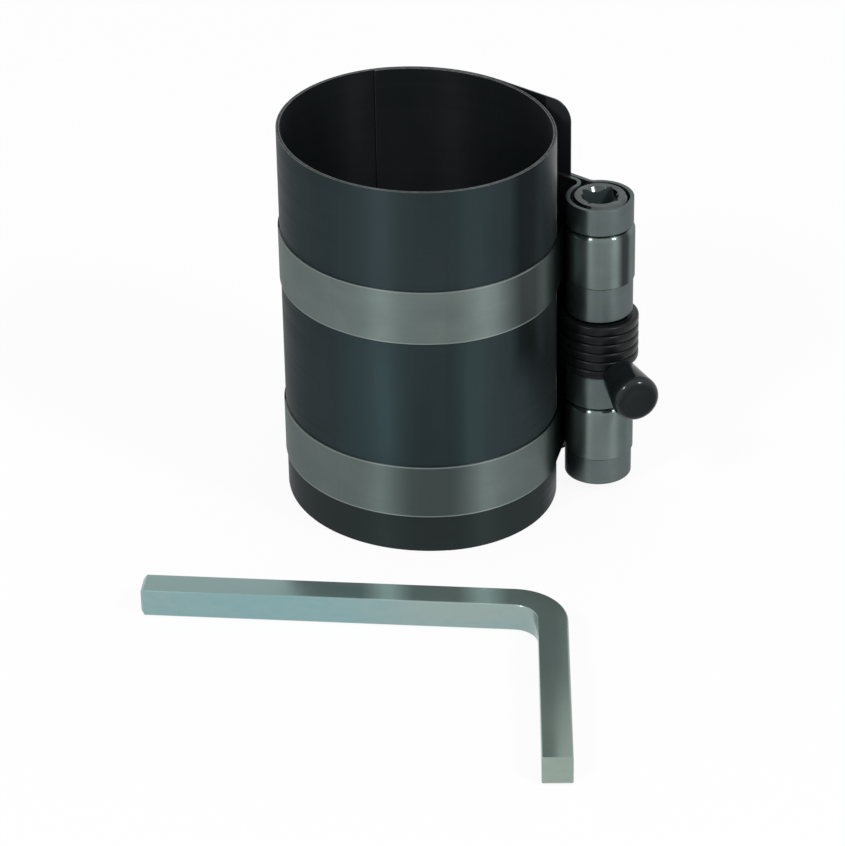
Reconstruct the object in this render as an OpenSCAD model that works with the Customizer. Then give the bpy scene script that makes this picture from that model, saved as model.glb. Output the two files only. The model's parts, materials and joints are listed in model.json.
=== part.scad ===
// Piston ring compressor: a spring-steel sleeve with two wind-up straps.
// A square key turns a spindle that winds the straps and closes the sleeve.
// Units are millimetres. Z points up along the sleeve, with its lower rim at 0.

/* [Sleeve] */
// outside diameter of the closed sleeve, between its long and its short axis
band_d = 54.2; // [48:0.2:90]
// difference between the long and the short diameter of the sleeve
oval = 3.9; // [0:0.1:5]
// height of the sleeve
band_h = 80; // [70:1:110]
// thickness of the spring-steel sheet
sheet_t = 0.3; // [0.2:0.05:0.5]
// air between one layer of the sheet and the next
layer_gap = 0.1; // [0.06:0.02:0.3]
// angle by which the sheet runs on past two full turns
inner_lap = 53; // [20:1:120]
// corner radius of the flap that leaves the sleeve
flap_corner = 4; // [1:0.5:8]

/* [Straps] */
// width of each strap
strap_w = 11.4; // [8:0.2:13]
// thickness of each strap
strap_t = 0.3; // [0.2:0.05:0.4]
// height of the middle of the upper strap
upper_strap_z = 53; // [51:0.5:58]
// height of the middle of the lower strap
lower_strap_z = 13.8; // [11:0.2:16]
// turns of strap wound on the spindle
strap_turns = 6; // [3:1:8]

/* [Spindle] */
// diameter of the spindle
spindle_d = 11; // [10.6:0.1:13]
// depth of the groove that takes each wound strap
strap_groove = 0.8; // [0.4:0.1:0.9]
// air between a round sleeve's strap and the wound strap
barrel_gap = 1.1; // [0.8:0.1:4]
// depth of the square socket
socket_depth = 10; // [6:0.5:12]
// turn of the socket about the spindle
socket_turn = 10; // [0:1:45]
// width and depth of the lead-in cone at the mouth of the socket
socket_lead = 0.7; // [0.2:0.1:0.8]
socket_lead_depth = 0.9; // [0.2:0.1:2]

/* [Bracket] */
// distance of the flap behind the spindle's axis
flap_offset = 3.4; // [2:0.1:4]
// thickness of the folded bracket sheet
bracket_t = 0.8; // [0.5:0.1:1.2]
// height of the bracket's lower end above the sleeve's lower rim
bracket_z = 2.2; // [0.5:0.1:4]
// height of the bracket's top
bracket_top = 64.4; // [64:0.2:70]
// radius of the curve from a loop into its leg
neck_r = 1.6; // [1:0.1:3]
// length of the leg on the flap's outer face
back_leg = 6.6; // [4:0.2:7.4]
// length of the leg on the flap's inner face
front_leg = 5.6; // [4:0.2:6]

/* [Clutch spring] */
// wire diameter of the clutch spring
wire_d = 2; // [1.6:0.1:2]
// height of the middle of the spring's window
spring_z = 33.3; // [32.5:0.1:34.5]
// height of the spring's window
spring_window = 12.8; // [12.8:0.1:13.4]
// direction of the release lever, seen from above
lever_angle = -73.6; // [-85:0.1:-60]
// distance by which the lever's line passes to the right of the spindle's axis
lever_offset = 1.6; // [0:0.1:1.8]

/* [Lever grip] */
// length of the plastic grip
grip_len = 10.4; // [8:0.2:16]
// diameter of the grip at the spring
grip_root_d = 7.4; // [5:0.1:8]
// diameter of the grip at its free end
grip_end_d = 9.5; // [7:0.1:11]
// rounding of the grip's end
grip_edge = 1.8; // [0.5:0.1:2.5]

/* [Key] */
// width across the flats of the square key
key_size = 5.8; // [4.5:0.1:6]
// outside length of the key's long arm
key_long = 82; // [60:1:120]
// outside length of the key's short arm
key_short = 54.8; // [40:0.2:80]
// angle through which the key is bent
key_bend = 85.2; // [75:0.2:95]
// inside radius of the bend
key_bend_r = 5; // [2:0.2:6]
// chamfer at the key's ends
key_chamfer = 0.6; // [0.2:0.1:1]
// distance of the key's bend in front of the sleeve
key_ahead = 32.9; // [20:0.1:60]
// distance of the key's bend to the left of the spindle
key_left = 19.2; // [0:0.2:40]
// turn of the key on the floor
key_turn = -1.1; // [-20:0.1:20]

/* [Hidden] */
$fn = 96;
// length by which one piece of a solid is tucked into the next
tuck = 0.1;
// how much thinner than its neighbour a tucked piece is, on each side
hair = 0.01;
// overshoot of a cut
cut = 1;

// radial air between the spindle and the bracket's loops
loop_clear = 0.4;
// radial air between the spindle and the coiled spring
spring_clear = 0.4;
// air above and below each wound strap in its window
window_clear = 0.3;
// air between the end turns of the spring and the loops
spring_end_clear = 0.15;
// air between the layers of a wound strap
coil_gap = 0.03;
// air between a strap and the turn it feeds
feed_gap = 0.05;
// air on each side of the key in the socket
key_clear = 0.1;
// air between the tail and the last turn of the coil
tail_gap = 0.02;
// air between the neck of the bracket and the flap's free edge
flap_edge_gap = 1.5;
// air between the bracket's leg and the start of each strap
strap_edge_gap = 0.5;
// air between the spring and the grip
grip_gap = 0.7;
// share of the grip's length that the tail reaches into
tail_share = 0.7;
// how far the spindle stands out of the bracket at each end
spindle_proud = 0.2;
// chamfer of the spindle's ends
spindle_chamfer = 0.5;

// the sleeve is an oval of four quarter arcs: two flat sides and two tighter ends
sleeve_r = band_d / 2;
short_r = sleeve_r - oval / 4;
arc_shift = oval / 2 / (2 - sqrt(2));
side_r = short_r + arc_shift;
end_r = short_r + oval / 2 - arc_shift;
side_tuck = tuck / side_r * 180 / PI;
// half-turn step of the sleeve's spiral
band_step = (sheet_t + layer_gap) / 2;
// spindle radii and the wound strap
spindle_r = spindle_d / 2;
core_r = spindle_r - strap_groove;
coil_step = (strap_t + coil_gap) / 2;
coil_r = core_r + strap_t + 2 * strap_turns * coil_step;
spindle_x = sleeve_r + strap_t + barrel_gap + coil_r;
// the flap runs on from the middle of a flat side, past the back of the spindle's axis
flap_angle = acos((short_r - sheet_t / 2 - flap_offset) / spindle_x);
flap_reach = spindle_x * sin(flap_angle);
// loops and legs of the bracket
loop_r = spindle_r + loop_clear;
loop_out = loop_r + bracket_t;
leg_face = sheet_t / 2;
leg_out = leg_face + bracket_t;
neck_y = leg_out + neck_r;
neck_reach = loop_out + neck_r;
front_neck = asin((neck_y - flap_offset) / neck_reach);
back_neck = asin((neck_y + flap_offset) / neck_reach);
// the flap's free edge stands just behind the front neck
flap_free = neck_reach * cos(front_neck) + flap_edge_gap;
// heights of the windows that the loops leave
strap_window = strap_w + 2 * window_clear;
spring_low = spring_z - spring_window / 2;
spring_high = spring_z + spring_window / 2;
loop_levels = [
    [bracket_z, lower_strap_z - strap_window / 2],
    [lower_strap_z + strap_window / 2, spring_low],
    [spring_high, upper_strap_z - strap_window / 2],
    [upper_strap_z + strap_window / 2, bracket_top]];
// where each strap starts on the flap, behind the bracket's leg
strap_start = flap_free + back_leg + strap_edge_gap;
// the strap's straight run from the sleeve to the wound turns
run_r = end_r - band_step + strap_t / 2;
wind_r = coil_r - strap_t / 2;
run_cx = arc_shift * sin(flap_angle) - band_step * cos(flap_angle);
run_cy = -arc_shift * cos(flap_angle) - band_step * sin(flap_angle);
run_dx = spindle_x - run_cx;
run_dy = -run_cy;
run_d = sqrt(run_dx * run_dx + run_dy * run_dy);
run_angle = atan2(run_dy, run_dx) - acos((run_r + wind_r) / run_d);
run_len = sqrt(run_d * run_d - pow(run_r + wind_r, 2));
// the spring's turns: flat at the front, sloping at the back
turn_r = spindle_r + spring_clear + wire_d / 2;
front_turns = 6;
turn_first = spring_low + spring_end_clear + wire_d / 2;
turn_pitch = (spring_window - 2 * spring_end_clear - wire_d) / (front_turns - 1);
turn_slope = atan2(turn_pitch / 2, turn_r);
back_r = turn_r / cos(turn_slope);
turn_tuck = tuck / back_r * 180 / PI;
// the tail bends out of the lowest turn into the lever
tail_r = wire_d;
tail_lag = asin((tail_r - lever_offset) / (turn_r + tail_r));
tail_out = (turn_r + tail_r) * cos(tail_lag);
tail_start = lever_angle - tail_lag;
grip_start = turn_r + wire_d / 2 + grip_gap;
tail_end = grip_start + tail_share * grip_len;
// taper of the grip, and the steps of its rounded end
edge_steps = 10;
grip_taper = atan2((grip_end_d - grip_root_d) / 2, grip_len - grip_edge);
// socket and key
socket_size = key_size + 2 * key_clear;
spindle_low = bracket_z - spindle_proud;
spindle_top = bracket_top + spindle_proud;
key_mid_r = key_bend_r + key_size / 2;
key_set_back = (key_bend_r + key_size) * tan(key_bend / 2);
// where the key lies on the floor in front of the sleeve
key_x = spindle_x - key_left;
key_y = -sleeve_r - key_ahead;

// a curved wall of one radius, from angle a0 to angle a1
module arc_wall(r_in, t, h, a0, a1) {
    rotate([0, 0, a0])
        rotate_extrude(angle = a1 - a0)
            translate([r_in, 0])
                square([t, h]);
}

// the same wall a hair thinner, with both ends tucked into its neighbours
module arc_tongue(r_in, t, h, a0, a1) {
    more = tuck / (r_in + t) * 180 / PI;
    translate([0, 0, hair])
        arc_wall(r_in + hair, t - 2 * hair, h - 2 * hair, a0 - more, a1 + more);
}

// a bent round bar of one radius, from angle a0 to angle a1
module arc_bar(r_mid, d, a0, a1) {
    rotate([0, 0, a0])
        rotate_extrude(angle = a1 - a0)
            translate([r_mid, 0])
                circle(d = d);
}

// frame of the flap: X runs along its middle from beside the spindle, Y points to the sleeve
module on_flap() {
    translate([spindle_x, 0, 0])
        rotate([0, 0, flap_angle + 90])
            translate([0, -flap_offset, 0])
                children();
}

// half turn i of sheet or strap, counted inward from the flap and set in from the oval's outline;
// flat sides are thinner by a hair, or two in odd half turns, and tucked into what they meet
module half_turn(i, inset, t, h, sweep) {
    odd = i % 2;
    thin = hair * (1 + odd);
    depth = i * band_step + inset + t;
    for (k = [2 * odd:ceil((180 * odd + sweep - 45) / 90)]) {
        from = max(180 * odd - 90 * k, -45);
        to = min(180 * odd + sweep - 90 * k, 45);
        rotate([0, 0, flap_angle])
            translate([-band_step * odd, 0, 0])
                rotate([0, 0, 90 * k])
                    if (k % 2 == 0)
                        translate([-arc_shift, 0, thin])
                            arc_wall(side_r - depth + thin, t - 2 * thin, h - 2 * thin,
                                     from - (from == -45 || odd == 1 ? side_tuck : 0),
                                     to + (to == 45 || odd == 1 ? side_tuck : 0));
                    else
                        translate([arc_shift, 0, 0])
                            arc_wall(end_r - depth, t, h, from, to);
    }
}

// outline of one rounded corner to be taken off the flap
module corner_cut() {
    difference() {
        translate([-cut, -cut])
            square(flap_corner + cut);
        translate([flap_corner, flap_corner])
            circle(r = flap_corner);
    }
}

// flat end of the sheet that carries the bracket
module flap() {
    on_flap()
        translate([flap_free, sheet_t / 2, 0])
            rotate([90, 0, 0])
                linear_extrude(height = sheet_t)
                    difference() {
                        square([flap_reach - flap_free + tuck, band_h]);
                        corner_cut();
                        translate([0, band_h])
                            mirror([0, 1])
                                corner_cut();
                    }
}

// rolled spring-steel sheet, two turns and a lap, with its flap
module compression_band() {
    color([0.17, 0.2, 0.22]) {
        flap();
        for (i = [0:3])
            half_turn(i, 0, sheet_t, band_h, 180);
        half_turn(4, 0, sheet_t, band_h, inner_lap);
    }
}

// curve from a loop into the leg on the side of positive Y
module bracket_neck(angle, h) {
    translate([neck_reach * cos(angle), neck_y, 0])
        arc_tongue(neck_r, bracket_t, h, 180 + angle, 270);
}

// one loop round the spindle with its two necks
module bracket_loop(z0, z1) {
    translate([0, 0, z0]) {
        translate([0, flap_offset, 0])
            arc_wall(loop_r, bracket_t, z1 - z0, front_neck, 360 - back_neck);
        bracket_neck(front_neck, z1 - z0);
        mirror([0, 1, 0])
            bracket_neck(back_neck, z1 - z0);
    }
}

// flat leg of the bracket along the flap, on the side of positive Y, cut back at the windows
module bracket_leg(angle, length) {
    start = neck_reach * cos(angle);
    difference() {
        translate([start, leg_face, bracket_z])
            cube([flap_free - start + length, bracket_t, bracket_top - bracket_z]);
        for (i = [0:2])
            translate([start - cut, leg_face - cut, loop_levels[i][1]])
                cube([flap_free - start + cut, bracket_t + 2 * cut,
                      loop_levels[i + 1][0] - loop_levels[i][1]]);
    }
}

// folded steel sheet: four loops, windows between them and a leg on each face of the flap
module spindle_bracket() {
    color([0.42, 0.46, 0.46])
        on_flap() {
            for (level = loop_levels)
                bracket_loop(level[0], level[1]);
            bracket_leg(front_neck, front_leg);
            mirror([0, 1, 0])
                bracket_leg(back_neck, back_leg);
        }
}

// one strap from the flap round the sleeve to the spindle, centred on height z
module strap(z) {
    color([0.44, 0.48, 0.47])
        translate([0, 0, z - strap_w / 2]) {
            on_flap()
                translate([strap_start, -leg_face - strap_t, 0])
                    cube([flap_reach - strap_start + tuck, strap_t, strap_w]);
            half_turn(0, -strap_t, strap_t, strap_w, 180);
            half_turn(1, -strap_t, strap_t, strap_w, 180 + run_angle - flap_angle);
            translate([run_cx, run_cy, 0])
                rotate([0, 0, run_angle])
                    translate([run_r - strap_t / 2 + hair, -tuck, hair])
                        cube([strap_t - 2 * hair, run_len - feed_gap + tuck, strap_w - 2 * hair]);
        }
}

// upper strap, on the sleeve
module upper_strap() {
    strap(upper_strap_z);
}

// lower strap, on the sleeve
module lower_strap() {
    strap(lower_strap_z);
}

// the turns of one strap that are wound on the spindle, centred on height z
module strap_coil(z) {
    color([0.44, 0.48, 0.47])
        translate([spindle_x, 0, z - strap_w / 2])
            rotate([0, 0, run_angle + 180])
                mirror([0, 1, 0])
                    for (i = [0:2 * strap_turns - 1])
                        translate([-coil_step * (i % 2), 0, 0])
                            arc_wall(coil_r - i * coil_step - strap_t, strap_t, strap_w,
                                     180 * (i % 2), 180 * (i % 2) + 180);
}

// wound part of the upper strap
module upper_strap_coil() {
    strap_coil(upper_strap_z);
}

// wound part of the lower strap
module lower_strap_coil() {
    strap_coil(lower_strap_z);
}

// groove turned in the spindle for one wound strap
module coil_groove(z) {
    translate([0, 0, z - strap_w / 2])
        difference() {
            cylinder(h = strap_w, r = spindle_r + cut);
            translate([0, 0, -cut])
                cylinder(h = strap_w + 2 * cut, r = core_r);
        }
}

// round bar with chamfered ends, two grooves and a square socket with a lead-in cone in its top
module spindle() {
    color([0.5, 0.53, 0.53])
        translate([spindle_x, 0, 0])
            difference() {
                rotate_extrude()
                    polygon([[0, spindle_low],
                             [spindle_r - spindle_chamfer, spindle_low],
                             [spindle_r, spindle_low + spindle_chamfer],
                             [spindle_r, spindle_top - spindle_chamfer],
                             [spindle_r - spindle_chamfer, spindle_top],
                             [0, spindle_top]]);
                coil_groove(upper_strap_z);
                coil_groove(lower_strap_z);
                rotate([0, 0, socket_turn])
                    translate([-socket_size / 2, -socket_size / 2, spindle_top - socket_depth])
                        cube([socket_size, socket_size, socket_depth + cut]);
                translate([0, 0, spindle_top - socket_lead_depth])
                    cylinder(h = 2 * socket_lead_depth,
                             r1 = socket_size / 2, r2 = socket_size / 2 + 2 * socket_lead);
            }
}

// coil that grips the spindle; its top end is held on the bracket's inner leg
module clutch_spring() {
    color([0.1, 0.1, 0.11]) {
        translate([spindle_x, 0, turn_first]) {
            arc_bar(turn_r, wire_d, -180, tail_start - atan(tail_gap / turn_r));
            for (i = [1:front_turns - 1])
                translate([0, 0, i * turn_pitch])
                    arc_bar(turn_r, wire_d, -180, 0);
            for (i = [0:front_turns - 2])
                translate([0, 0, (i + 0.5) * turn_pitch])
                    rotate([0, -turn_slope, 0])
                        arc_bar(back_r, wire_d - 2 * hair, -turn_tuck, 180 + turn_tuck);
        }
        spring_anchor();
    }
}

// straight top end of the spring, cut off flush on the bracket's inner leg
module spring_anchor() {
    difference() {
        translate([spindle_x - turn_r, -tuck, turn_first + (front_turns - 1) * turn_pitch])
            rotate([-90, 0, 0])
                cylinder(h = flap_free + wire_d, d = wire_d - 2 * hair);
        on_flap()
            translate([0, leg_out - flap_reach, bracket_z])
                cube([flap_reach, flap_reach, bracket_top - bracket_z]);
    }
}

// end of the spring wire that is bent out into the lever
module spring_tail() {
    color([0.1, 0.1, 0.11])
        translate([spindle_x, 0, turn_first]) {
            rotate([0, 0, tail_start])
                translate([turn_r + tail_r, 0, 0])
                    arc_bar(tail_r, wire_d, 90 + tail_lag, 180);
            rotate([0, 0, lever_angle])
                translate([tail_out - tuck, lever_offset, 0])
                    rotate([0, 90, 0])
                        cylinder(h = tail_end - tail_out + tuck, d = wire_d - 2 * hair);
        }
}

// half outline of the grip, from its root up to its rounded end
module grip_outline() {
    edge_x = grip_end_d / 2 - grip_edge;
    edge_y = grip_len - grip_edge;
    side_x = edge_x + grip_edge * cos(grip_taper);
    side_y = edge_y - grip_edge * sin(grip_taper);
    root_x = side_x - side_y * tan(grip_taper);
    rounding = [for (i = [0:edge_steps])
        let (a = -grip_taper + (90 + grip_taper) * i / edge_steps)
        [edge_x + grip_edge * cos(a), edge_y + grip_edge * sin(a)]];
    polygon(concat([[0, 0], [root_x, 0]], rounding, [[0, grip_len]]));
}

// black plastic grip pushed onto the spring's tail
module lever_grip() {
    color([0.08, 0.08, 0.09])
        translate([spindle_x, 0, turn_first])
            rotate([0, 0, lever_angle])
                translate([grip_start, lever_offset, 0])
                    rotate([0, 90, 0])
                        difference() {
                            rotate_extrude()
                                grip_outline();
                            translate([0, 0, -cut])
                                cylinder(h = tail_end - grip_start + cut, d = wire_d - 2 * hair);
                        }
}

// straight arm of the key along Y, with a chamfered end
module key_arm(length) {
    intersection() {
        translate([-key_size / 2, 0, 0])
            linear_extrude(height = key_size)
                arm_outline(length);
        translate([-key_size / 2, 0, key_size])
            rotate([0, 90, 0])
                linear_extrude(height = key_size)
                    arm_outline(length);
    }
}

// side of an arm, with its two end corners cut
module arm_outline(length) {
    polygon([[0, 0], [key_size, 0], [key_size, length - key_chamfer],
             [key_size - key_chamfer, length], [key_chamfer, length], [0, length - key_chamfer]]);
}

// square bar bent to an L, lying on the floor
module square_key() {
    color([0.55, 0.64, 0.64])
        translate([key_x, key_y, 0])
            rotate([0, 0, key_turn]) {
                arc_tongue(key_bend_r, key_size, key_size, 0, key_bend);
                translate([key_mid_r, 0, 0])
                    mirror([0, 1, 0])
                        key_arm(key_short - key_set_back);
                rotate([0, 0, key_bend])
                    translate([key_mid_r, 0, 0])
                        key_arm(key_long - key_set_back);
            }
}

compression_band();
spindle_bracket();
upper_strap();
lower_strap();
clutch_spring();
spindle();
upper_strap_coil();
lower_strap_coil();
spring_tail();
lever_grip();
square_key();
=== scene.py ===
import json
import math

import bmesh
import bpy
from mathutils import Matrix, Vector

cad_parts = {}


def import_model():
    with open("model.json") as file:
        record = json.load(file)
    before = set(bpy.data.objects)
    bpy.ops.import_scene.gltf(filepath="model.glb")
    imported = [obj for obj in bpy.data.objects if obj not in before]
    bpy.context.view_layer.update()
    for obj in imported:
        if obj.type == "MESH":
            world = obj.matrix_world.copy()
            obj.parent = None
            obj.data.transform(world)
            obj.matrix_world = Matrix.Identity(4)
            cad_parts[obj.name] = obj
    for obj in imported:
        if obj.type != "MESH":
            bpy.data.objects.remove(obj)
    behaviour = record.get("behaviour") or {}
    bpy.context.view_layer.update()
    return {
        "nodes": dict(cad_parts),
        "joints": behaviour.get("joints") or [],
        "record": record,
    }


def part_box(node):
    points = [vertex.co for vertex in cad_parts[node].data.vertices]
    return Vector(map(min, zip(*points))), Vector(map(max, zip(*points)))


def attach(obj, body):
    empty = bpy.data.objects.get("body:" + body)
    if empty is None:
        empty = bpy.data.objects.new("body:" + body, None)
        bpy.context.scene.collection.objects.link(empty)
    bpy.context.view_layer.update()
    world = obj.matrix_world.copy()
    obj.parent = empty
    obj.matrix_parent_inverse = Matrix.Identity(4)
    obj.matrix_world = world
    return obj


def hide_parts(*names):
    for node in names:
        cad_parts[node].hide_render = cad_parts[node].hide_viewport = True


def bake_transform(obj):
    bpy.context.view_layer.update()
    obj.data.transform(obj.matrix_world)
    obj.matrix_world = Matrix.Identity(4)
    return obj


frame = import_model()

MM = 0.001

# The photograph's camera, in the part's frame, and the nearest and farthest that it sees
PHOTO_SIDE_PX = 846
FOCAL_PX = 4001.8
SENSOR_MM = 36.0
CAMERA_AT = Vector((0.00007, -0.68914, 0.43251))
CAMERA_PITCH = math.radians(31.31)
CAMERA_ROLL = math.radians(1.05)
CAMERA_SEES = (0.01, 50)

# Studio: share of the floor's own white, even light from all round, the lamps, and the floor
FLOOR_GLOW = 0.92
WORLD_LIGHT = 0.6
LAMP_WATTS = 4.4
LAMP_SIDE = 0.18
LAMP_AIM = Vector((0, 0, 0.04))
LAMPS = {"left_softbox": Vector((-0.58, -0.69, 0.8)), "right_softbox": Vector((0.70, -0.57, 0.8))}
FLOOR_HALF = 30
FLOOR_DROP = 0.2 * MM

# Sizes that the looks share with the solids
WIRE_TURNS = 5
TAIL_BEND_R = 2 * MM
LEVER_ANGLE = math.radians(-73.6)
LEVER_OFFSET = 1.6 * MM
GRIP_START = 8.6 * MM
GRIP_LEN = 10.4 * MM
GRIP_ROOT_R = 3.7 * MM
GRIP_EDGE = 1.8 * MM
COIL_STEP = 0.165 * MM
COIL_R = 6.98 * MM
CORE_R = 4.7 * MM
FLAP_ANGLE = math.radians(50.49)
RUN_ANGLE = math.radians(-13.9)
FLAP_OFFSET = 3.4 * MM
LEG_OUT = 0.95 * MM
STRAP_OUT = 0.45 * MM
KEY_SIZE = 5.8 * MM
KEY_LONG = 82 * MM
KEY_SHORT = 54.8 * MM
KEY_BEND = math.radians(85.2)
KEY_BEND_R = 5 * MM
KEY_CHAMFER = 0.6 * MM
KEY_TURN = math.radians(-1.1)

# Finer shapes that only the scene has: softened edges, the windings' lower foot, and the weld spots' places
GRIP_ROOT_EDGE = 0.5 * MM
COIL_SHOULDER = 1.3 * MM
COIL_FOOT = 0.15 * MM
COIL_DROP = 0.2 * MM
KEY_CORNER = 0.35 * MM
WELD_R = 1.4 * MM
LEG_SPOT = 13.0 * MM
STRAP_SPOT = 19.5 * MM

# Spring wire: points on each stretch, share of the tail's reach that it runs, and its outline's rounding
LEAD_STEPS = 8
TURN_STEPS = 48
BEND_STEPS = 12
TAIL_STEPS = 6
TAIL_SHARE = 0.97
WIRE_ROUNDING = 0.28

# Dished end of the grip: shares of the flat's radius, and depths
GRIP_DISH = ((0.9, 0), (0.82, 0.12 * MM), (0.4, 0.2 * MM), (0, 0.22 * MM))
GRIP_ROOT_STEPS = 5
GRIP_EDGE_STEPS = 14

# Weld spot: shares of its radius, and heights above the sheet
WELD_DISH = ((0, 0.01 * MM), (0.45, 0.015 * MM), (0.68, 0.09 * MM), (0.82, 0.12 * MM),
             (0.95, 0.07 * MM), (1.05, -0.05 * MM), (0, -0.05 * MM))
WELD_STEPS = 32
LEG_WELDS = 5
STRAP_WELDS_AT = (0.28, 0.72)

# Points on the windings' half turns and edges, and on the key's bend
WINDING_STEPS = 72
WINDING_BEND_STEPS = 6
KEY_BEND_STEPS = 16

# Meshes: the upward direction, the sharpest edge that is shaded smooth, points on a rounded corner and
# round a turned piece, and the radius below which a point of its profile lies on the axis
UP = Vector((0, 0, 1))
SMOOTH_ANGLE = math.radians(40)
CORNER_STEPS = 5
LATHE_STEPS = 72
ON_AXIS = 1e-9

# Tint of a metal's reflection at a grazing angle
DULL_EDGE = (0.62, 0.62, 0.62, 1)

# Depth of the fine bump on metal and on grained surfaces, radii of softened edges, and their samples
METAL_BUMP = 0.04 * MM
GRAIN_BUMP = 0.05 * MM
SHEET_SOFT = 0.12 * MM
KEY_SOFT = 0.25 * MM
SOFT_SAMPLES = 6

# Part of a turn by which a rolled metal's highlights are set across its rolling lines
ROLLED_TURN = 0.25

# Upward part of the normal: more on level faces, less on upright ones
LEVEL_FACE = 0.8
UPRIGHT_FACE = 0.3

# Upward part of the normal where a winding's shoulder starts, on the spindle's chamfers with its reach,
# and where the key's top starts
SHOULDER_SLOPES = (0.12, 0.35)
CHAMFER_SLOPE = 0.65
CHAMFER_REACH = (0.12, 0.25)
TOP_SLOPES = (0.5, 0.9)

# Part of the normal along the lever where the grip's rounded edge starts and where it ends
GRIP_EDGE_STARTS = (0.25, 0.45)
GRIP_EDGE_ENDS = (0.75, 0.95)

# Painted shade beside the bracket: its angle, its even part, its reach and the heights between which it
# fades
BRACKET_SHADE_ANGLE = math.radians(-42)
BRACKET_SHADE_CORE = math.radians(4)
SLEEVE_SHADE_REACH = math.radians(10)
STRAP_SHADE_REACH = math.radians(16)
SHADE_HEIGHTS = (33 * MM, 42 * MM)

# Painted dark reflection of the key in the middle of the lower strap, and painted shade over the rest of it
KEY_REFLECTION_ANGLE = math.radians(-87)
KEY_REFLECTION_CORE = math.radians(8)
KEY_REFLECTION_REACH = math.radians(22)
KEY_REFLECTION_HEIGHTS = (28 * MM, 24 * MM)

# Angles between which the strap turns away from the sleeve, into the bracket's shade; past them its edges
# get painted shade and its painted rim highlight fades
LEAVE_ANGLES = (math.radians(-42), math.radians(-30))

# Painted dark reflection: a stripe down the windings
STRIPE_ANGLE = math.radians(-47)
STRIPE_CORE = math.radians(5)
STRIPE_REACH = math.radians(15)

# Dusty oil where the bracket shades the sleeve
DUST_ANGLE = math.radians(10)
DUST_CORE = math.radians(28)
DUST_REACH = math.radians(42)

# Painted reflections on the sleeve, a bluer patch and a pale streak, weaker high up and gone at the foot,
# where the sleeve turns darker instead
BLUE_REFLECTION_ANGLE = math.radians(-111)
BLUE_REFLECTION_CORE = math.radians(7)
BLUE_REFLECTION_REACH = math.radians(20)
STREAK_ANGLE = math.radians(-71)
STREAK_CORE = math.radians(0.4)
STREAK_REACH = math.radians(8)
FOOT_HEIGHTS = (8 * MM, 19 * MM)
REFLECTION_FADE = (40 * MM, 58 * MM)

# Distances from a strap's middle between which its painted rim highlight starts
RIM_REACH = (5.4 * MM, 5.5 * MM)

# Painted reflections: pale bands across the top of the key, their places and half widths
BAND_PLACES = (-7.2 * MM, 11.2 * MM)
BAND_CORE = 0.8 * MM
BAND_REACH = 5 * MM

# Largest outward() of a face where the sleeve's sheet ends
SHEET_END = 10 * MM

# Radius past which only the flap stands, whose inner face gets painted light
FLAP_FROM = 28.3 * MM

# Places along the key between which its plating changes hue, and along its short arm
HUE_X = (-30 * MM, 30 * MM)
ARM_Y = (-100 * MM, -68 * MM)


def joint(name):
    return next(j for j in frame["joints"] if j["name"] == name)


SPINDLE_X = joint("spindle_turn")["pos_m"][0]


# Meshes

def new_mesh(name, verts, faces):
    """A mesh object with smooth shading that keeps edges sharper than SMOOTH_ANGLE."""
    mesh = bpy.data.meshes.new(name)
    mesh.from_pydata([tuple(v) for v in verts], [], faces)
    bm = bmesh.new()
    bm.from_mesh(mesh)
    bmesh.ops.recalc_face_normals(bm, faces=bm.faces)
    for face in bm.faces:
        face.smooth = True
    for edge in bm.edges:
        edge.smooth = len(edge.link_faces) == 2 and edge.calc_face_angle(0) < SMOOTH_ANGLE
    bm.to_mesh(mesh)
    bm.free()
    obj = bpy.data.objects.new(name, mesh)
    bpy.context.scene.collection.objects.link(obj)
    return obj


def sweep(name, path, sections):
    """A closed bar along path. sections holds one list of (across, upward) offsets per point."""
    count = len(sections[0])
    verts, faces = [], []
    for i, point in enumerate(path):
        ahead = path[min(i + 1, len(path) - 1)] - path[max(i - 1, 0)]
        ahead.normalize()
        across = ahead.cross(UP).normalized()
        above = across.cross(ahead)
        verts += [point + across * a + above * b for a, b in sections[i]]
    for i in range(len(path) - 1):
        for k in range(count):
            n = (k + 1) % count
            faces.append((i * count + k, i * count + n, (i + 1) * count + n, (i + 1) * count + k))
    faces.append(tuple(range(count - 1, -1, -1)))
    last = (len(path) - 1) * count
    faces.append(tuple(range(last, last + count)))
    return new_mesh(name, verts, faces)


def lathe(name, profile, place, steps=LATHE_STEPS):
    """A turned piece: profile is a list of (radius, height) from one end of the axis to the other."""
    verts, faces, rings = [], [], []
    for r, h in profile:
        if r < ON_AXIS:
            rings.append([len(verts)])
            verts.append(place @ Vector((0, 0, h)))
            continue
        rings.append(list(range(len(verts), len(verts) + steps)))
        for k in range(steps):
            a = 2 * math.pi * k / steps
            verts.append(place @ Vector((r * math.cos(a), r * math.sin(a), h)))
    for low, high in zip(rings, rings[1:]):
        for k in range(steps):
            n = (k + 1) % steps
            ring = [low[k % len(low)], low[n % len(low)], high[n % len(high)], high[k % len(high)]]
            faces.append(tuple(dict.fromkeys(ring)))
    return new_mesh(name, verts, faces)


def rounded_square(side, corner):
    """Outline of a square with rounded corners, about its middle."""
    half = side / 2 - corner
    points = []
    for q, (sx, sy) in enumerate(((1, 1), (-1, 1), (-1, -1), (1, -1))):
        for i in range(CORNER_STEPS + 1):
            a = math.pi / 2 * (q + i / CORNER_STEPS)
            points.append((sx * half + corner * math.cos(a), sy * half + corner * math.sin(a)))
    return points


def facing(at, out):
    """Matrix that puts a turned piece at a point with its axis along the level direction out."""
    return Matrix.Translation(at) @ Matrix((UP.cross(out), UP, out)).transposed().to_4x4()


def polar(centre, radius, angle, z):
    """The point at a radius and an angle about an upright axis through centre, at height z."""
    return Vector((centre.x + radius * math.cos(angle), centre.y + radius * math.sin(angle), z))


# Materials

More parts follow.
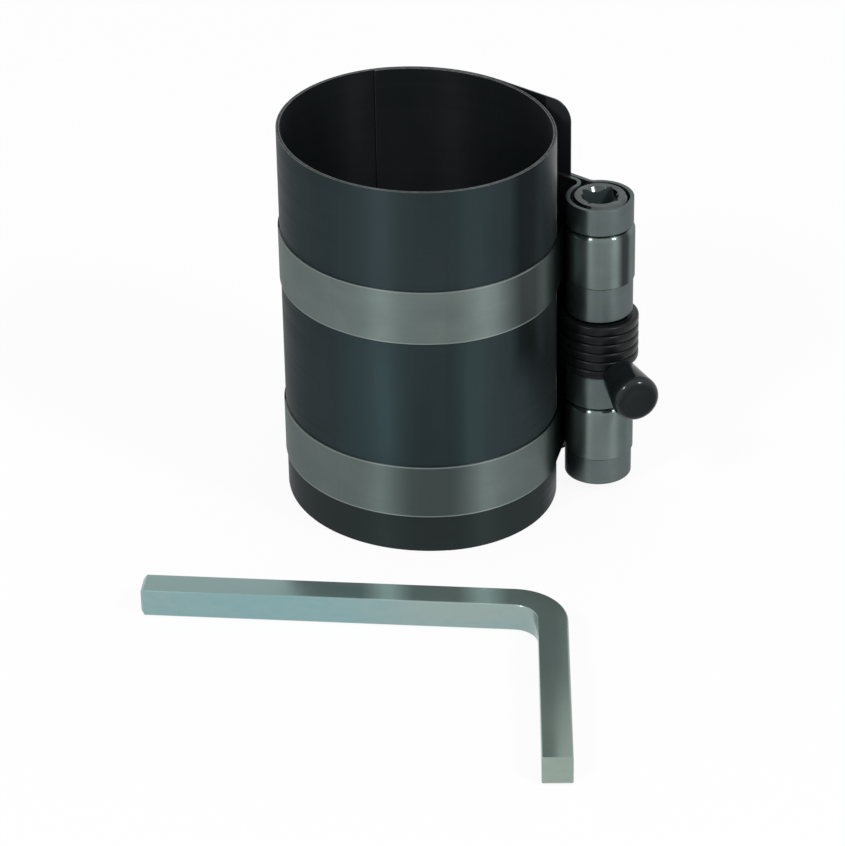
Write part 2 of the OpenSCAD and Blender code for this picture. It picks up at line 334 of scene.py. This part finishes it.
class Material:
    """A small builder for a Principled material with object-space patterns."""

    def __init__(self, name):
        self.material = bpy.data.materials.new(name)
        self.material.use_nodes = True
        self.nodes = self.material.node_tree.nodes
        self.links = self.material.node_tree.links
        self.shader = self.nodes["Principled BSDF"]
        self.coords = self.nodes.new("ShaderNodeTexCoord")

    def put(self, value, socket):
        """Links a node's output to socket, or sets a plain value on it."""
        if isinstance(value, bpy.types.NodeSocket):
            self.links.new(value, socket)
        else:
            socket.default_value = value

    def noise(self, cells, detail=4.0, rough=0.55):
        """Noise in object space; cells is the number of cells per metre along X, Y and Z."""
        mapping = self.nodes.new("ShaderNodeMapping")
        mapping.inputs["Scale"].default_value = cells
        self.links.new(self.coords.outputs["Object"], mapping.inputs["Vector"])
        node = self.nodes.new("ShaderNodeTexNoise")
        node.inputs["Scale"].default_value = 1.0
        node.inputs["Detail"].default_value = detail
        node.inputs["Roughness"].default_value = rough
        self.links.new(mapping.outputs["Vector"], node.inputs["Vector"])
        return node.outputs["Fac"]

    def along(self, axis, source="Object"):
        """One coordinate of the surface, in metres, or one part of its normal."""
        split = self.nodes.new("ShaderNodeSeparateXYZ")
        self.links.new(self.coords.outputs[source], split.inputs["Vector"])
        return split.outputs[axis]

    def ramp(self, fac, low, high, from_min=0.3, from_max=0.7):
        """A number that goes from low to high as fac goes from from_min to from_max."""
        node = self.nodes.new("ShaderNodeMapRange")
        node.inputs["From Min"].default_value = from_min
        node.inputs["From Max"].default_value = from_max
        node.inputs["To Min"].default_value = low
        node.inputs["To Max"].default_value = high
        self.links.new(fac, node.inputs["Value"])
        return node.outputs["Result"]

    def mix(self, fac, a, b):
        """Colour a where fac is 0, colour b where it is 1."""
        node = self.nodes.new("ShaderNodeMix")
        node.data_type = "RGBA"
        self.put(fac, node.inputs["Factor"])
        for value, socket in ((a, node.inputs[6]), (b, node.inputs[7])):
            self.put(value if isinstance(value, bpy.types.NodeSocket) else (*value, 1.0), socket)
        return node.outputs[2]

    def math(self, kind, a, b=0.0):
        """A Math node of a kind, as its output."""
        node = self.nodes.new("ShaderNodeMath")
        node.operation = kind
        self.put(a, node.inputs[0])
        self.put(b, node.inputs[1])
        return node.outputs[0]

    def cut_edges(self):
        """1 on faces that look up or down, where a sheet was cut, and 0 elsewhere."""
        return self.math("GREATER_THAN", self.math("ABSOLUTE", self.along("Z", "Normal")), LEVEL_FACE)

    def upright(self):
        """1 on faces that stand upright, and 0 elsewhere."""
        return self.math("LESS_THAN", self.math("ABSOLUTE", self.along("Z", "Normal")), UPRIGHT_FACE)

    def outward(self, axis_x=0.0):
        """Distance from the upright axis at axis_x times the outward part of the normal."""
        from_axis = {"X": self.math("SUBTRACT", self.along("X"), axis_x), "Y": self.along("Y")}
        parts = [self.math("MULTIPLY", from_axis[axis], self.along(axis, "Normal")) for axis in "XY"]
        return self.math("ADD", *parts)

    def inner_side(self, axis_x=0.0):
        """1 on faces that look towards the upright axis at axis_x, and 0 elsewhere."""
        return self.math("LESS_THAN", self.outward(axis_x), 0.0)

    def sheet_ends(self):
        """1 on upright faces that look along the sleeve's sheet, where it ends, and 0 elsewhere."""
        sideways = self.math("LESS_THAN", self.math("ABSOLUTE", self.outward()), SHEET_END)
        return self.math("MULTIPLY", self.upright(), sideways)

    def bearing(self, axis_x=0.0):
        """Angle of the surface about the upright axis at axis_x, from X towards Y."""
        return self.math("ARCTAN2", self.along("Y"), self.math("SUBTRACT", self.along("X"), axis_x))

    def beyond(self, radius):
        """1 on what stands farther than radius from the upright axis through the origin, else 0."""
        parts = [self.math("MULTIPLY", self.along(axis), self.along(axis)) for axis in "XY"]
        return self.math("GREATER_THAN", self.math("ADD", *parts), radius * radius)

    def stripe(self, bearing, angle, core, reach):
        """1 within core of an angle, fading to 0 at reach on both sides of it."""
        away = self.math("ABSOLUTE", self.math("SUBTRACT", bearing, angle))
        return self.ramp(away, 1.0, 0.0, core, reach)

    def stain_and_painted_light(self, angle, core, reach, ends_at, full_at):
        """A stripe about the sleeve's axis that fades out towards the height ends_at, used to place painted
        shade and painted reflections.
        """
        height = self.ramp(self.along("Z"), 0.0, 1.0, ends_at, full_at)
        return self.math("MULTIPLY", self.stripe(self.bearing(), angle, core, reach), height)

    def bump(self, height, strength, distance, bevel=0.0):
        """Bump from height, on top of edges rounded by bevel metres."""
        node = self.nodes.new("ShaderNodeBump")
        node.inputs["Strength"].default_value = strength
        node.inputs["Distance"].default_value = distance
        self.links.new(height, node.inputs["Height"])
        if bevel:
            rounding = self.nodes.new("ShaderNodeBevel")
            rounding.samples = SOFT_SAMPLES
            rounding.inputs["Radius"].default_value = bevel
            self.links.new(rounding.outputs["Normal"], node.inputs["Normal"])
        self.links.new(node.outputs["Normal"], self.shader.inputs["Normal"])

    def rolled(self):
        """Rolling lines run round the upright axis, so highlights stretch up and down."""
        tangent = self.nodes.new("ShaderNodeTangent")
        tangent.direction_type = "RADIAL"
        tangent.axis = "Z"
        self.links.new(tangent.outputs["Tangent"], self.shader.inputs["Tangent"])
        self.shader.inputs["Anisotropic Rotation"].default_value = ROLLED_TURN

    def finish(self, colour, roughness, **constants):
        """Sets the shader's colour, roughness and constants, and returns the material."""
        self.put(colour, self.shader.inputs["Base Color"])
        self.put(roughness, self.shader.inputs["Roughness"])
        for name, value in constants.items():
            self.shader.inputs[name.replace("_", " ")].default_value = value
        return self.material


def blued_sheet():
    """Glossy blue-black spring steel with bare cut edges and faint rolling marks, painted shade inside and
    beside the bracket, painted reflections, and painted light on the flap and the sheet's end.
    """
    m = Material("blued_sheet")
    cloud = m.noise((60, 60, 25), detail=5)
    rolling = m.noise((25, 25, 1600), detail=3)
    edge = m.cut_edges()
    face = m.mix(m.ramp(cloud, 0, 1), (0.023, 0.034, 0.036), (0.032, 0.044, 0.048))
    ends = m.sheet_ends()
    inner = m.math("MAXIMUM", m.inner_side(), ends)
    # Painted shade on the sleeve beside the bracket
    bracket_shade = m.stain_and_painted_light(BRACKET_SHADE_ANGLE, BRACKET_SHADE_CORE, SLEEVE_SHADE_REACH, *SHADE_HEIGHTS)
    foot = m.ramp(m.along("Z"), 0.6, 0.0, *FOOT_HEIGHTS)
    fade = m.ramp(m.along("Z"), 1.0, 0.4, *REFLECTION_FADE)
    # Painted reflections: a bluer patch and a pale streak down the sleeve
    blue = m.stain_and_painted_light(BLUE_REFLECTION_ANGLE, BLUE_REFLECTION_CORE, BLUE_REFLECTION_REACH, *FOOT_HEIGHTS)
    pale = m.stain_and_painted_light(STREAK_ANGLE, STREAK_CORE, STREAK_REACH, *FOOT_HEIGHTS)
    face = m.mix(foot, face, (0.0275, 0.033, 0.032))
    face = m.mix(m.math("MULTIPLY", blue, fade), face, (0.034, 0.053, 0.059))
    face = m.mix(m.math("MULTIPLY", pale, fade), face, (0.034, 0.055, 0.055))
    face = m.mix(bracket_shade, face, (0.0115, 0.0165, 0.0175))
    dust = m.stripe(m.bearing(), DUST_ANGLE, DUST_CORE, DUST_REACH)
    face = m.mix(dust, face, (0.017, 0.02, 0.021))
    # Painted shade: the faces inside the sleeve are darker than the sheet's outside
    inner_shade = m.mix(m.ramp(cloud, 0, 1), (0.005, 0.0068, 0.0076), (0.0082, 0.0106, 0.0116))
    # Painted light: the flap's inner face, which the sleeve shades, is lighter
    inner_shade = m.mix(m.beyond(FLAP_FROM), inner_shade, (0.026, 0.028, 0.031))
    # Painted light: the sheet's end faces are lighter, against the shade at the lap's step
    face = m.mix(inner, face, m.mix(ends, inner_shade, (0.1, 0.107, 0.11)))
    bare = m.mix(m.ramp(m.noise((900, 900, 900)), 0, 1), (0.085, 0.091, 0.091), (0.165, 0.175, 0.175))
    film_and_shade = m.math("MULTIPLY", m.math("MAXIMUM", inner, dust), m.math("SUBTRACT", 1.0, edge))
    m.put(m.math("SUBTRACT", 1.0, film_and_shade), m.shader.inputs["Metallic"])
    rough = m.math("ADD", m.ramp(cloud, 0.36, 0.42), m.ramp(rolling, -0.03, 0.05))
    m.bump(rolling, 0.04, GRAIN_BUMP)
    m.rolled()
    return m.finish(m.mix(edge, face, bare), rough, Specular_IOR_Level=0.2,
                    Anisotropic=0.9, Specular_Tint=DULL_EDGE)


def cold_strip(m):
    """Cold-rolled strip: a face colour and a roughness with fine lines along the strap."""
    lines = m.noise((30, 30, 6000), detail=5, rough=0.7)
    cloud = m.noise((120, 120, 200), detail=5)
    face = m.mix(m.ramp(cloud, 0, 1), (0.125, 0.16, 0.152), (0.155, 0.192, 0.182))
    face = m.mix(m.math("MULTIPLY", m.ramp(lines, 0, 1), 0.3), face, (0.20, 0.235, 0.225))
    m.bump(lines, 0.05, METAL_BUMP)
    m.rolled()
    return face, m.ramp(lines, 0.38, 0.48)


def strap_rims(m):
    """1 along the upper and lower rims of both straps, and 0 elsewhere."""
    boxes = (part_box("lower_strap"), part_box("upper_strap"))
    lower, upper = ((low[2] + high[2]) / 2 for low, high in boxes)
    height = m.math("SUBTRACT", m.along("Z"), (lower + upper) / 2)
    off = m.math("SUBTRACT", m.math("ABSOLUTE", height), (upper - lower) / 2)
    return m.ramp(m.math("ABSOLUTE", off), 0.0, 1.0, *RIM_REACH)


def strap_steel():
    """Straps on the sleeve: bright sheared edges, partly bare steel and partly painted highlight, painted
    rim highlights, painted shade beside the bracket and a painted dark reflection of the key.
    """
    m = Material("strap_steel")
    face, rough = cold_strip(m)
    # Painted shade on the strap beside the bracket
    bracket_shade = m.stain_and_painted_light(BRACKET_SHADE_ANGLE, BRACKET_SHADE_CORE, STRAP_SHADE_REACH, *SHADE_HEIGHTS)
    # Painted dark reflection of the key across the middle of the lower strap
    key_reflection = m.stain_and_painted_light(KEY_REFLECTION_ANGLE, KEY_REFLECTION_CORE, KEY_REFLECTION_REACH, *KEY_REFLECTION_HEIGHTS)
    face = m.mix(bracket_shade, face, (0.05, 0.062, 0.06))
    face = m.mix(key_reflection, face, (0.068, 0.088, 0.083))
    # Painted shade: the whole lower strap a little darker
    face = m.mix(m.ramp(m.along("Z"), 0.0, 0.25, *KEY_REFLECTION_HEIGHTS), face, (0.06, 0.078, 0.074))
    leaving = m.ramp(m.bearing(), 0.0, 1.0, *LEAVE_ANGLES)
    # Painted highlight along the straps' upper and lower rims, gone in the bracket's shade
    rim_highlight = m.math("MULTIPLY", strap_rims(m), m.math("SUBTRACT", 1.0, leaving))
    face = m.mix(rim_highlight, face, (0.225, 0.262, 0.252))
    # Sheared edges: bare steel with a painted highlight in front, and painted shade past LEAVE_ANGLES
    sheared = m.mix(leaving, (0.24, 0.262, 0.255), (0.03, 0.036, 0.035))
    return m.finish(m.mix(m.cut_edges(), face, sheared), rough,
                    Metallic=1.0, Anisotropic=0.9, Specular_Tint=DULL_EDGE)


def wound_strap():
    """Straps on the spindle, with shoulders polished by winding."""
    m = Material("wound_strap")
    face, rough = cold_strip(m)
    # Painted dark reflection down the windings
    stripe = m.stripe(m.bearing(SPINDLE_X), STRIPE_ANGLE, STRIPE_CORE, STRIPE_REACH)
    stripe = m.math("MULTIPLY", stripe, m.ramp(m.along("Z"), 0.25, 1.0, *SHADE_HEIGHTS))
    face = m.mix(stripe, face, (0.036, 0.046, 0.044))
    shoulder = m.ramp(m.math("ABSOLUTE", m.along("Z", "Normal")), 0.0, 1.0, *SHOULDER_SLOPES)
    polish = m.ramp(shoulder, 1.0, 0.5, 0.0, 1.0)
    return m.finish(face, m.math("MULTIPLY", rough, polish),
                    Metallic=0.94, Anisotropic=0.9, Specular_Tint=DULL_EDGE)


def bare_steel():
    """Folded bracket sheet: satin steel with rolling marks and a little staining."""
    m = Material("bare_steel")
    lines = m.noise((40, 40, 4200), detail=5, rough=0.7)
    stain_and_painted_light = m.noise((260, 260, 180), detail=6)
    face = m.mix(m.ramp(stain_and_painted_light, 0, 1), (0.09, 0.114, 0.114), (0.12, 0.147, 0.145))
    face = m.mix(m.math("MULTIPLY", m.ramp(lines, 0, 1), 0.25), face, (0.158, 0.185, 0.183))
    m.bump(lines, 0.05, METAL_BUMP, bevel=SHEET_SOFT)
    m.rolled()
    return m.finish(face, m.ramp(stain_and_painted_light, 0.32, 0.42),
                    Metallic=0.88, Anisotropic=0.85, Specular_Tint=DULL_EDGE)


def spindle_steel():
    """Turned bar: fine rings round the axis, and chamfers polished by the key."""
    m = Material("spindle_steel")
    turned = m.noise((180, 180, 9000), detail=4, rough=0.7)
    stain_and_painted_light = m.noise((300, 300, 300), detail=5)
    face = m.mix(m.ramp(stain_and_painted_light, 0, 1), (0.062, 0.07, 0.073), (0.1, 0.112, 0.114))
    m.bump(turned, 0.08, METAL_BUMP, bevel=SHEET_SOFT)
    slope = m.math("ABSOLUTE", m.math("SUBTRACT", m.along("Z", "Normal"), CHAMFER_SLOPE))
    polish = m.ramp(slope, 0.5, 1.0, *CHAMFER_REACH)
    rough = m.math("MULTIPLY", m.ramp(turned, 0.24, 0.36), polish)
    wall = m.math("MULTIPLY", m.inner_side(SPINDLE_X), m.upright())
    face = m.mix(wall, face, (0.058, 0.08, 0.083))
    m.put(m.ramp(wall, 1.0, 0.25, 0.0, 1.0), m.shader.inputs["Metallic"])
    return m.finish(face, m.math("MAXIMUM", rough, m.math("MULTIPLY", wall, 0.55)))


def black_wire():
    """Oiled black-oxide spring wire with drawing marks."""
    m = Material("black_wire")
    grain = m.noise((2600, 2600, 2600), detail=4)
    wear = m.noise((420, 420, 420), detail=5)
    face = m.mix(m.ramp(wear, 0, 1, 0.45, 0.75), (0.0046, 0.0058, 0.0062), (0.0105, 0.0125, 0.0132))
    m.bump(grain, 0.06, GRAIN_BUMP)
    return m.finish(face, m.ramp(wear, 0.26, 0.4), Specular_IOR_Level=0.15)


def black_plastic():
    """Moulded grip: fine grain and a slight polish where fingers rub."""
    m = Material("black_plastic")
    grain = m.noise((5200, 5200, 5200), detail=3)
    rub = m.noise((220, 220, 220), detail=4)
    face = m.mix(m.ramp(rub, 0, 1), (0.0085, 0.0115, 0.0125), (0.012, 0.0155, 0.0165))
    m.bump(grain, 0.06, GRAIN_BUMP)
    ahead = m.math("ADD", m.math("MULTIPLY", m.along("X", "Normal"), math.cos(LEVER_ANGLE)),
                   m.math("MULTIPLY", m.along("Y", "Normal"), math.sin(LEVER_ANGLE)))
    edge = m.math("MULTIPLY", m.ramp(ahead, 0.0, 1.0, *GRIP_EDGE_STARTS),
                  m.ramp(ahead, 1.0, 0.0, *GRIP_EDGE_ENDS))
    m.put(m.ramp(edge, 0.085, 0.3, 0.0, 1.0), m.shader.inputs["Specular IOR Level"])
    return m.finish(face, m.ramp(rub, 0.13, 0.19))


def zinc_plate():
    """Bright zinc on a drawn bar: bluish at one end of the long arm, greener towards the bend."""
    m = Material("zinc_plate")
    cloud = m.noise((45, 60, 120), detail=3, rough=0.45)
    fine = m.noise((500, 900, 900), detail=4)
    hue = m.math("ADD", m.ramp(m.along("X"), 0, 1, *HUE_X), m.ramp(cloud, -0.3, 0.3))
    face = m.mix(hue, (0.215, 0.375, 0.39), (0.30, 0.375, 0.35))
    arm = m.ramp(m.along("Y"), 0.85, 0.0, *ARM_Y)
    face = m.mix(arm, face, (0.27, 0.33, 0.28))
    face = m.mix(m.ramp(fine, 0, 0.25), face, (0.36, 0.44, 0.42))
    top = m.ramp(m.along("Z", "Normal"), 0, 1, *TOP_SLOPES)
    # Painted shade: the key's top faces are darker
    face = m.mix(m.math("MULTIPLY", top, 0.6), face, (0.195, 0.265, 0.24))
    # Painted reflections: pale bands across the key's top
    reflection_bands = [m.stripe(m.along("X"), x, BAND_CORE, BAND_REACH) for x in BAND_PLACES]
    reflection_band = m.math("MULTIPLY", m.math("MAXIMUM", *reflection_bands), top)
    face = m.mix(reflection_band, face, (0.30, 0.42, 0.395))
    metal = m.math("SUBTRACT", m.ramp(top, 0.82, 0.66, 0, 1), m.math("MULTIPLY", reflection_band, 0.26))
    m.put(metal, m.shader.inputs["Metallic"])
    m.bump(fine, 0.03, METAL_BUMP, bevel=KEY_SOFT)
    return m.finish(face, m.ramp(cloud, 0.16, 0.24))


FINISHES = {make.__name__: make() for make in (
    blued_sheet, strap_steel, wound_strap, bare_steel,
    spindle_steel, black_wire, black_plastic, zinc_plate)}


def dress(obj, finish):
    """Gives obj one of the finishes."""
    obj.data.materials.clear()
    obj.data.materials.append(FINISHES[finish])


def place(obj, slot, body, finish=None):
    """Dresses a new piece and hands it to the body that carries it."""
    dress(obj, finish or slot)
    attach(obj, body)


for part in frame["record"]["subparts"]:
    dress(frame["nodes"][part["node"]], part["material_slot"])


# Clutch spring: one wire from the bracket's leg, round the spindle and out to the lever

def spring_wire():
    axis = Vector(joint("spindle_turn")["pos_m"])
    coil_high = Vector(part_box("clutch_spring")[1])
    tail_low, tail_high = (Vector(v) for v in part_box("spring_tail"))
    wire = tail_high.z - tail_low.z
    radius = coil_high.x - axis.x - wire / 2
    z_top = coil_high.z - wire / 2
    z_low = (tail_low.z + tail_high.z) / 2
    lag = math.asin((TAIL_BEND_R - LEVER_OFFSET) / (radius + TAIL_BEND_R))
    leave = LEVER_ANGLE - lag
    lead = coil_high.y - wire / 3
    path = [Vector((axis.x - radius, lead * (1 - i / LEAD_STEPS), z_top)) for i in range(LEAD_STEPS)]
    turn = 2 * math.pi * WIRE_TURNS + leave + math.pi
    steps = TURN_STEPS * WIRE_TURNS
    for i in range(steps + 1):
        t = i / steps
        path.append(polar(axis, radius, -math.pi + turn * t, z_top + (z_low - z_top) * t))
    centre = polar(axis, radius + TAIL_BEND_R, leave, z_low)
    for i in range(1, BEND_STEPS + 1):
        angle = leave + math.pi - (math.pi / 2 - lag) * i / BEND_STEPS
        path.append(polar(centre, TAIL_BEND_R, angle, z_low))
    out = Vector((math.cos(LEVER_ANGLE), math.sin(LEVER_ANGLE), 0))
    start = path[-1]
    reach = (tail_low.y - start.y) / out.y * TAIL_SHARE
    path += [start + out * (reach * i / TAIL_STEPS) for i in range(1, TAIL_STEPS + 1)]
    ring = rounded_square(wire, wire * WIRE_ROUNDING)
    obj = sweep("clutch_spring_wire", path, [ring] * len(path))
    dress(obj, "black_wire")
    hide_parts("clutch_spring", "spring_tail")
    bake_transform(obj)


# Grip: a tapered moulding with a rounded end, pushed on the wire

def grip_moulding():
    axis = Vector(joint("lever_release")["pos_m"])
    low, high = (Vector(v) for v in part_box("lever_grip"))
    end_r = (high.z - low.z) / 2
    edge_x, edge_y = end_r - GRIP_EDGE, GRIP_LEN - GRIP_EDGE
    taper = math.atan2(end_r - GRIP_ROOT_R, edge_y)
    profile = [(0, 0), (GRIP_ROOT_R - GRIP_ROOT_EDGE, 0)]
    profile += [(GRIP_ROOT_R - GRIP_ROOT_EDGE * (1 - math.sin(a)), GRIP_ROOT_EDGE * (1 - math.cos(a)))
                for a in (math.pi / 2 * i / GRIP_ROOT_STEPS for i in range(1, GRIP_ROOT_STEPS + 1))]
    bend = math.pi / 2 + taper
    profile += [(edge_x + GRIP_EDGE * math.cos(a), edge_y + GRIP_EDGE * math.sin(a))
                for a in (-taper + bend * i / GRIP_EDGE_STEPS for i in range(GRIP_EDGE_STEPS + 1))]
    profile += [(edge_x * share, GRIP_LEN - depth) for share, depth in GRIP_DISH]
    out = Vector((math.cos(LEVER_ANGLE), math.sin(LEVER_ANGLE), 0))
    root = Vector((axis.x, axis.y, (low.z + high.z) / 2)) + out * GRIP_START
    root += Vector((-out.y, out.x, 0)) * LEVER_OFFSET
    obj = lathe("lever_grip_moulding", profile, facing(root, out))
    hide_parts("lever_grip")
    place(obj, "black_plastic", "lever")


# Wound straps: the turns on the spindle, with the softened edges of a tight winding

def winding(name, node):
    axis = Vector(joint("spindle_turn")["pos_m"])
    low, high = (Vector(v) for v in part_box(node))
    turn = Matrix.Translation((axis.x, axis.y, 0)) @ Matrix.Rotation(RUN_ANGLE + math.pi, 4, "Z")
    steps = WINDING_STEPS

    def ring(inset, z):
        """One closed outline of the winding: two half turns, the second a step nearer the axis."""
        points = []
        for shift, first in ((0, 0), (1, math.pi)):
            r = COIL_R - COIL_STEP * shift - inset
            points += [Vector((r * math.cos(first + math.pi * i / steps) - COIL_STEP * shift,
                               -r * math.sin(first + math.pi * i / steps), z))
                       for i in range(shift, steps + 1)]
        return points

    bends = [math.pi / 2 * i / WINDING_BEND_STEPS for i in range(WINDING_BEND_STEPS + 1)]
    foot = low.z - COIL_DROP
    profile = [(COIL_FOOT * (1 - math.sin(a)), foot + COIL_FOOT * (1 - math.cos(a))) for a in bends]
    profile += [(COIL_SHOULDER * (1 - math.cos(a)), high.z - COIL_SHOULDER * (1 - math.sin(a)))
                for a in bends]
    profile += [(COIL_R - CORE_R, high.z), (COIL_R - CORE_R, foot)]
    rings = [ring(inset, z) for inset, z in profile]
    count = len(rings[0])
    verts = [turn @ v for r in rings for v in r]
    faces = []
    for i in range(len(rings)):
        j = (i + 1) % len(rings)
        for k in range(count):
            n = (k + 1) % count
            faces.append((i * count + k, i * count + n, j * count + n, j * count + k))
    obj = new_mesh(name, verts, faces)
    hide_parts(node)
    place(obj, "strap_steel", "spindle", "wound_strap")


# Weld spots: shallow dimples that hold the bracket's leg and the straps' ends on the flap

def weld_spots():
    low, high = (Vector(v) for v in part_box("spindle_bracket"))
    outward = Vector((math.cos(FLAP_ANGLE), math.sin(FLAP_ANGLE), 0))
    back = Vector((-outward.y, outward.x, 0))
    axis = Vector(joint("spindle_turn")["pos_m"])
    dish = [(share * WELD_R, height) for share, height in WELD_DISH]
    leg_face = LEG_OUT + FLAP_OFFSET
    for i in range(LEG_WELDS):
        z = low.z + (high.z - low.z) * (i + 0.5) / LEG_WELDS
        at = Vector((axis.x, axis.y, z)) + back * LEG_SPOT + outward * leg_face
        obj = lathe("leg_weld_%d" % (i + 1), dish, facing(at, outward), steps=WELD_STEPS)
        place(obj, "bare_steel", "sleeve")
    for name in ("upper_strap", "lower_strap"):
        a, b = (Vector(v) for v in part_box(name))
        for i, share in enumerate(STRAP_WELDS_AT):
            z = a.z + (b.z - a.z) * share
            at = Vector((axis.x, axis.y, z)) + back * STRAP_SPOT + outward * (STRAP_OUT + FLAP_OFFSET)
            obj = lathe("%s_weld_%d" % (name, i + 1), dish, facing(at, outward), steps=WELD_STEPS)
            place(obj, "strap_steel", "sleeve")


# Key: a square bar with softened corners and chamfered ends

def key_bar():
    low, high = (Vector(v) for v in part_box("square_key"))
    mid_r = KEY_BEND_R + KEY_SIZE / 2
    set_back = (KEY_BEND_R + KEY_SIZE) * math.tan(KEY_BEND / 2)
    long_run, short_run = KEY_LONG - set_back, KEY_SHORT - set_back
    z = KEY_SIZE / 2
    path = [Vector((mid_r, -short_run + KEY_CHAMFER * s, z)) for s in (0, 1)]
    path.append(Vector((mid_r, -short_run * 0.5, z)))
    path += [polar(Vector((0, 0, 0)), mid_r, KEY_BEND * i / KEY_BEND_STEPS, z)
             for i in range(KEY_BEND_STEPS + 1)]
    ahead = Vector((-math.sin(KEY_BEND), math.cos(KEY_BEND), 0))
    path += [path[-1] + ahead * d for d in (long_run * 0.5, long_run - KEY_CHAMFER, long_run)]
    whole = rounded_square(KEY_SIZE, KEY_CORNER)
    tip = rounded_square(KEY_SIZE - 2 * KEY_CHAMFER, KEY_CORNER)
    obj = sweep("square_key_bar", path, [tip] + [whole] * (len(path) - 2) + [tip])
    obj.data.transform(Matrix.Rotation(KEY_TURN, 4, "Z"))
    right = max(v.co.x for v in obj.data.vertices)
    front = min(v.co.y for v in obj.data.vertices)
    obj.data.transform(Matrix.Translation((high.x - right, low.y - front, 0)))
    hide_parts("square_key")
    place(obj, "zinc_plate", "key")


spring_wire()
grip_moulding()
winding("upper_strap_winding", "upper_strap_coil")
winding("lower_strap_winding", "lower_strap_coil")
weld_spots()
key_bar()


# Floor, light and camera

def seen_directly(tree):
    """1 for rays from the camera and for those that a mirror or glass sends on, else 0."""
    path = tree.nodes.new("ShaderNodeLightPath")
    total = path.outputs["Is Camera Ray"]
    for kind in ("Is Glossy Ray", "Is Transmission Ray"):
        node = tree.nodes.new("ShaderNodeMath")
        node.operation = "MAXIMUM"
        tree.links.new(total, node.inputs[0])
        tree.links.new(path.outputs[kind], node.inputs[1])
        total = node.outputs[0]
    return total


def scaled(tree, value, factor, offset):
    """value * factor + offset, as a node."""
    node = tree.nodes.new("ShaderNodeMath")
    node.operation = "MULTIPLY_ADD"
    tree.links.new(value, node.inputs[0])
    node.inputs[1].default_value = factor
    node.inputs[2].default_value = offset
    return node.outputs[0]


def floor():
    """A pale floor that reads as white to the camera and keeps a soft shadow."""
    mesh = bpy.data.meshes.new("floor")
    corners = [(x * FLOOR_HALF, y * FLOOR_HALF, 0) for x, y in ((-1, -1), (1, -1), (1, 1), (-1, 1))]
    mesh.from_pydata(corners, [], [(0, 1, 2, 3)])
    obj = bpy.data.objects.new("floor", mesh)
    obj.location.z = -FLOOR_DROP
    bpy.context.scene.collection.objects.link(obj)
    material = bpy.data.materials.new("pale_floor")
    material.use_nodes = True
    tree = material.node_tree
    shade = tree.nodes["Principled BSDF"]
    shade.inputs["Base Color"].default_value = (0.9, 0.9, 0.9, 1)
    shade.inputs["Roughness"].default_value = 0.8
    glow = tree.nodes.new("ShaderNodeEmission")
    glow.inputs["Strength"].default_value = 1.0
    blend = tree.nodes.new("ShaderNodeMixShader")
    tree.links.new(scaled(tree, seen_directly(tree), FLOOR_GLOW, 0), blend.inputs["Fac"])
    tree.links.new(shade.outputs["BSDF"], blend.inputs[1])
    tree.links.new(glow.outputs["Emission"], blend.inputs[2])
    tree.links.new(blend.outputs["Shader"], tree.nodes["Material Output"].inputs["Surface"])
    mesh.materials.append(material)


def lamp(name, at):
    """A square soft lamp that looks at the sleeve's middle."""
    light = bpy.data.lights.new(name, "AREA")
    light.shape = "RECTANGLE"
    light.size, light.size_y = LAMP_SIDE, LAMP_SIDE
    light.energy = LAMP_WATTS
    obj = bpy.data.objects.new(name, light)
    obj.location = at
    obj.rotation_euler = (LAMP_AIM - at).to_track_quat("-Z", "Y").to_euler()
    bpy.context.scene.collection.objects.link(obj)


def world():
    """Even light from all round, which the camera and mirrors see as white."""
    shade = bpy.data.worlds.new("studio")
    shade.use_nodes = True
    tree = shade.node_tree
    back = tree.nodes["Background"]
    back.inputs["Color"].default_value = (1, 1, 1, 1)
    strength = scaled(tree, seen_directly(tree), 1 - WORLD_LIGHT, WORLD_LIGHT)
    tree.links.new(strength, back.inputs["Strength"])
    bpy.context.scene.world = shade


def camera():
    """The fitted camera of the photograph: pitch, then roll about the line of sight."""
    ahead = Vector((0, math.cos(CAMERA_PITCH), -math.sin(CAMERA_PITCH)))
    right = Vector((1, 0, 0))
    down = Vector((0, -math.sin(CAMERA_PITCH), -math.cos(CAMERA_PITCH)))
    across = right * math.cos(CAMERA_ROLL) + down * math.sin(CAMERA_ROLL)
    below = down * math.cos(CAMERA_ROLL) - right * math.sin(CAMERA_ROLL)
    data = bpy.data.cameras.new("photo_camera")
    data.sensor_width = SENSOR_MM
    data.lens = FOCAL_PX * SENSOR_MM / PHOTO_SIDE_PX
    data.clip_start, data.clip_end = CAMERA_SEES
    obj = bpy.data.objects.new("photo_camera", data)
    turn = Matrix((across, -below, -ahead)).transposed()
    obj.matrix_world = Matrix.Translation(CAMERA_AT) @ turn.to_4x4()
    bpy.context.scene.collection.objects.link(obj)
    bpy.context.scene.camera = obj


floor()
world()
for lamp_name, lamp_at in LAMPS.items():
    lamp(lamp_name, lamp_at)
camera()
bpy.context.scene.view_settings.view_transform = "Standard"
